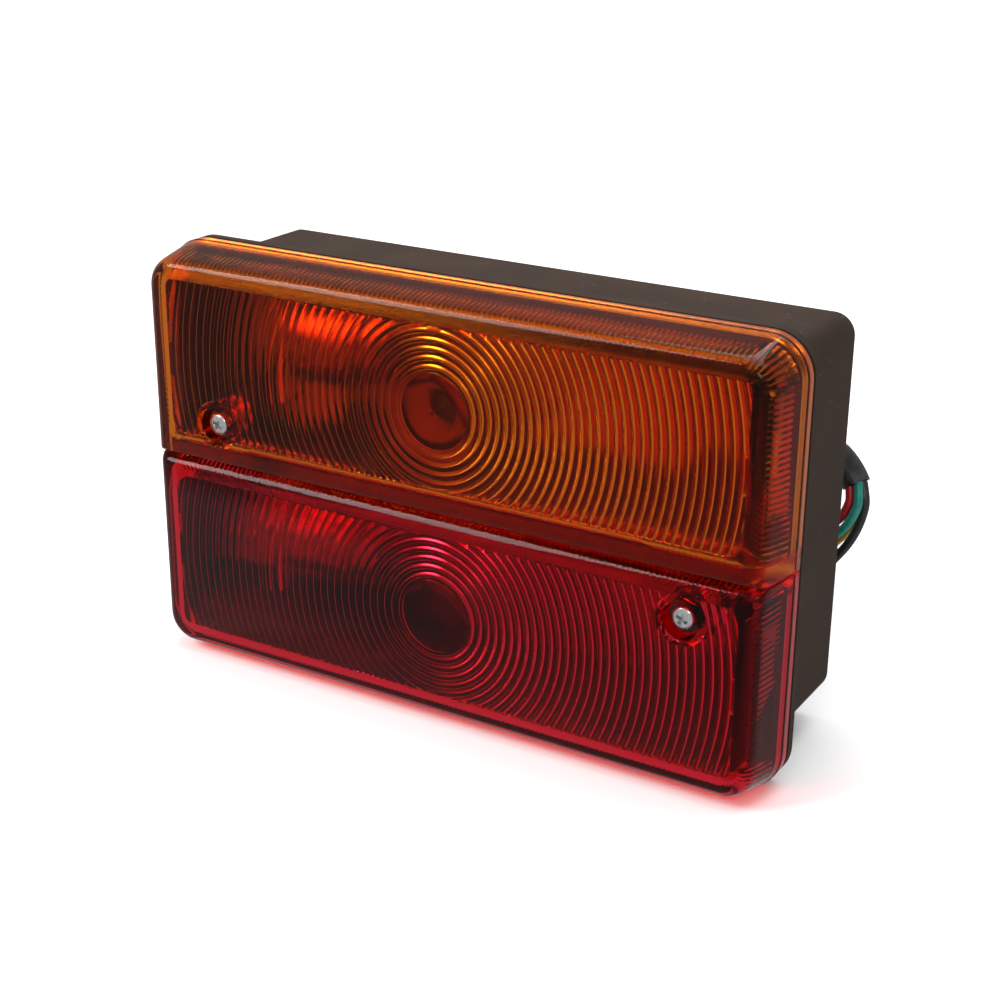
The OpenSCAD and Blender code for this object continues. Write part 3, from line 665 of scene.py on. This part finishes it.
def cut_screw_seat(thing, colour, front, rim):
    """Adds the boss of the lens screw and cuts its counterbore and hole, front and rim in mm."""
    low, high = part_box(colour + "_lens_screw")
    at = Vector(((low.x + high.x) / 2, 0, (low.z + high.z) / 2))
    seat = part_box(colour + "_screw_washer")[1].y / MM
    boss = [(front + 1, 6), (seat + 1.5, 6), (seat + 2, 5.5), (seat + 2, 4.3), (rim - 0.05, 4.1)]
    hole = [(front - 1, 5.0), (front, 4.6), (front + 0.35, 4.4), (seat, 4.3), (seat, 1.7),
            (rim + 1, 1.7)]
    combine(thing, lathe("boss", boss, at), "UNION")
    combine(thing, lathe("hole", hole, at), "DIFFERENCE")
    thing.data.set_sharp_from_angle(angle=math.radians(LENS_SHARP))


def add_lens(colour, up):
    """One lens: a smooth outer skin, ribs inside the walls and ring grooves inside the front."""
    moulding = Moulding(colour, up)
    rim_loop = moulding.outer_skin()
    outer_faces = len(moulding.faces)
    edge_loop, edge = moulding.inner_walls(rim_loop)
    moulding.ring_grooves(edge_loop, edge)
    node = colour + "_lens"
    made = add_mesh(node + "_moulding", moulding.vertices, moulding.faces, LENS_SHARP)
    made.data.materials.append(MATERIALS[SLOT_OF[node]])
    made.data.materials.append(INSIDE_OF[node])
    for face in made.data.polygons[outer_faces:]:
        face.material_index = 1
    cut_screw_seat(made, colour, moulding.front_y / MM, moulding.rim_y / MM)
    stand_for(made, node)


add_lens("amber", 1)
add_lens("red", -1)


# ---------------------------------------------------------------- lens screws

# All in mm
THREAD_PITCH = 1.1
THREAD_DEPTH = 0.36
CORE_R = 1.08
POINT_L = 2.5
PLAIN_L = 1.2
RUN_OUT = 0.6
HEAD_H = 2.2
HEAD_EDGE_R = 0.1
HEAD_EDGE_H = 0.12
HEAD_SIDE_H = 1.3
SCREW_SIDES = 32
RINGS_PER_TURN = 12
# The domed top of the head: height above its underside, share of its radius.
CROWN = [(1.7, 0.96), (1.95, 0.85), (2.1, 0.65), (2.18, 0.35), (HEAD_H, 0.05)]
# The cross recess at its mouth and at its bottom: height, share of the head's radius, half width.
RECESS = [(2.6, 0.62, 0.42), (0.8, 0.22, 0.3)]
RECESS_TURN = 25
SCREW_SHARP = 50


def shank_radius(along, turn, shank_l):
    """Radius of the shank at a distance from its tip, on the side given by a share of a turn."""
    phase = (along / THREAD_PITCH - turn) % 1
    crest = max(0.0, 1 - abs(phase - 0.5) * 4)
    point_share = min(1.0, along / POINT_L + 0.02)
    thread_share = min(1.0, max(0.0, (shank_l - PLAIN_L - along) / RUN_OUT))
    return (CORE_R + THREAD_DEPTH * crest * thread_share) * point_share


def screw_rings(shank_l, head_r):
    """(distance from the tip, the radius on every side) of each ring of a screw's surface."""
    count = round(shank_l / THREAD_PITCH * RINGS_PER_TURN)
    rings = []
    for i in range(count + 1):
        along = shank_l * i / count
        radii = [shank_radius(along, k / SCREW_SIDES, shank_l) for k in range(SCREW_SIDES)]
        rings.append((along, radii))
    head = [(0.0, head_r - HEAD_EDGE_R), (HEAD_EDGE_H, head_r), (HEAD_SIDE_H, head_r)]
    head += [(height, head_r * share) for height, share in CROWN]
    return rings + [(shank_l + height, [radius] * SCREW_SIDES) for height, radius in head]


def add_lens_screw(node):
    """A pan-head screw with a rolled thread, a pointed end and a cross recess."""
    low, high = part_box(node)
    head_r = (high.x - low.x) / 2 / MM
    shank_l = (high.y - low.y) / MM - HEAD_H
    tip = Vector(((low.x + high.x) / 2, high.y, (low.z + high.z) / 2))
    vertices = []
    loops = []
    for along, radii in screw_rings(shank_l, head_r):
        loops.append(list(range(len(vertices), len(vertices) + SCREW_SIDES)))
        for k, radius in enumerate(radii):
            angle = 2 * math.pi * k / SCREW_SIDES
            vertices.append(tip + Vector((radius * math.cos(angle), -along,
                                          radius * math.sin(angle))) * MM)
    faces = []
    for first, second in zip(loops, loops[1:]):
        faces += bridge(first, second)
    faces += [tuple(loops[0]), tuple(loops[-1])]
    screw = add_mesh(node + "_threaded", vertices, faces, SCREW_SHARP)
    for turn in (0, 90):
        combine(screw, recess_blade(tip, shank_l, head_r, turn), "DIFFERENCE")
    screw.data.set_sharp_from_angle(angle=math.radians(SCREW_SHARP))
    dress(screw, node)


def recess_blade(tip, shank_l, head_r, turn):
    """One tapering arm of the cross recess, to be cut out of the head."""
    spin = Matrix.Rotation(math.radians(turn + RECESS_TURN), 3, "Y")
    vertices = []
    for height, share, half in RECESS:
        reach = head_r * share
        for x, z in ((-reach, -half), (reach, -half), (reach, half), (-reach, half)):
            corner = spin @ Vector((x, 0, z)) + Vector((0, -shank_l - height, 0))
            vertices.append(tip + corner * MM)
    faces = [(0, 1, 2, 3), (4, 5, 6, 7)] + bridge([0, 1, 2, 3], [4, 5, 6, 7])
    return add_mesh("recess", vertices, faces)


add_lens_screw("amber_lens_screw")
add_lens_screw("red_lens_screw")


# ---------------------------------------------------------------- everything else of the CAD

# Width in mm of the bevel on the edges of a CAD node
BEVELLED = {
    "housing": 0.4, "amber_reflector": 0.12, "red_reflector": 0.12, "amber_socket": 0.1,
    "red_socket": 0.1, "mounting_studs": 0.25, "reflector_screws": 0.12, "cable_grommet": 0.3,
    "ground_terminals": 0.12,
}
STUD_PITCH = 1.0


def dress_cad_nodes():
    """Materials for every CAD node, and bevelled edges where they show."""
    for node, thing in frame["nodes"].items():
        paint(thing, SLOT_OF[node])
        if node == "mounting_studs":
            thing.data.materials[0] = threaded_zinc(STUD_PITCH)
        if node in BEVELLED:
            bevel = thing.modifiers.new("edges", "BEVEL")
            bevel.width = BEVELLED[node] * MM
            bevel.segments = 2
            bevel.limit_method = "ANGLE"
            bevel.angle_limit = math.radians(40)
            bevel.harden_normals = True


dress_cad_nodes()


# ---------------------------------------------------------------- floor and light

FLOOR_REACH = 3
WORLD_STRENGTH = 0.45


def hide_from_clear_parts(thing):
    """Neither reflected nor seen through clear parts, which would look hazy from its white."""
    thing.visible_glossy = False
    thing.visible_transmission = False


def add_floor():
    """A plain pale floor at the lowest point of the lamp."""
    corners = ((-1, -1), (1, -1), (1, 1), (-1, 1))
    vertices = [(x * FLOOR_REACH, y * FLOOR_REACH, low_corner.z) for x, y in corners]
    floor = add_mesh("floor", vertices, [(0, 1, 2, 3)])
    shader = Shader("floor", (0.9, 0.9, 0.9), 0.8)
    shader.colour(shader.ramp(shader.noise(3, 3), [(0.3, 0.89), (0.7, 0.93)]))
    floor.data.materials.append(shader.material)
    hide_from_clear_parts(floor)


def add_light(name, place, target, size, power):
    """A soft area light: size in metres, power in watts."""
    data = bpy.data.lights.new(name, "AREA")
    data.shape = "RECTANGLE"
    data.size, data.size_y = size
    data.energy = power
    light = bpy.data.objects.new(name, data)
    light.location = place
    light.rotation_euler = (Vector(target) - Vector(place)).to_track_quat("-Z", "Y").to_euler()
    bpy.context.collection.objects.link(light)
    return light


def add_studio():
    """Soft light from above, the left and the front, and one light that whitens the floor behind."""
    middle = (low_corner + high_corner) / 2
    add_light("key", (-0.6, -0.65, 0.7), middle, (0.5, 0.5), 10)
    add_light("top", (0.1, 0.1, 0.9), middle, (0.9, 0.7), 7)
    add_light("front", (0.4, -0.8, 0.5), middle, (0.25, 0.25), 1.5)
    backdrop = add_light("backdrop", (-0.5, 1.7, 1.1), (-0.5, 1.7, 0), (2.4, 1.6), 30)
    hide_from_clear_parts(backdrop)
    world = bpy.data.worlds.new("studio")
    world.use_nodes = True
    background = world.node_tree.nodes["Background"]
    background.inputs["Color"].default_value = (1, 1, 1, 1)
    background.inputs["Strength"].default_value = WORLD_STRENGTH
    bpy.context.scene.world = world
    bpy.context.scene.view_settings.view_transform = "Standard"


add_floor()
add_studio()
